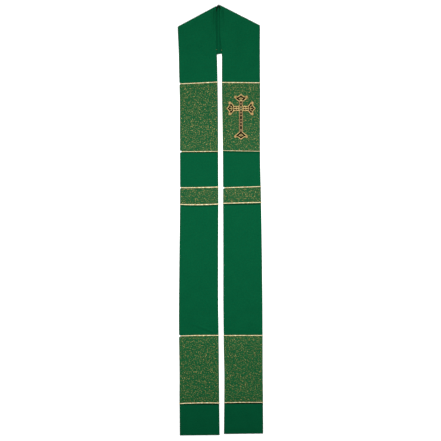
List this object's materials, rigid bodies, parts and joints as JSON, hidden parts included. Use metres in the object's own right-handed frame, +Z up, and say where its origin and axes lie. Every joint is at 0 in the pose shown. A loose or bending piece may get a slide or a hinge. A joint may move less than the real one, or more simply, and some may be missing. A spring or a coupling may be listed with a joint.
{
  "type": "clerical stole laid flat",
  "caption": "Long green cloth stole laid flat, folded at the shoulders, with gold-flecked brocade bands, gold braids and an embroidered gold cross on one panel.",
  "frame": {"origin": "on the surface the stole lies on, under the middle of its outline", "axes": "+X across the panels, from the plain one to the one with the cross; +Y from the hems towards the neck; +Z up from the surface"},
  "size_m": [0.2771, 1.3986, 0.0081],
  "materials": {
    "green_cloth": "smooth matte weave",
    "dark_green_cloth": "smooth matte weave, darker",
    "flecked_brocade": "green brocade with gold metal thread",
    "gold_braid": "plaited gold braid",
    "gold_embroidery": "gold thread embroidery on black ground",
    "black_tape": "woven tape"
  },
  "bodies": {
    "root": {"neck_left": "green_cloth", "panel_left": "green_cloth", "end_left": "dark_green_cloth", "band_upper_left": "flecked_brocade", "band_middle_left": "flecked_brocade", "band_lower_left": "flecked_brocade", "braid_left_1": "gold_braid", "braid_left_2": "gold_braid", "braid_left_3": "gold_braid", "braid_left_4": "gold_braid", "braid_left_5": "gold_braid", "braid_left_6": "gold_braid", "neck_right": "green_cloth", "panel_right": "green_cloth", "end_right": "dark_green_cloth", "band_upper_right": "flecked_brocade", "band_middle_right": "flecked_brocade", "band_lower_right": "flecked_brocade", "braid_right_1": "gold_braid", "braid_right_2": "gold_braid", "braid_right_3": "gold_braid", "braid_right_4": "gold_braid", "braid_right_5": "gold_braid", "braid_right_6": "gold_braid", "cross_applique": "gold_embroidery", "hanging_loop": "black_tape"}
  },
  "joints": []
}
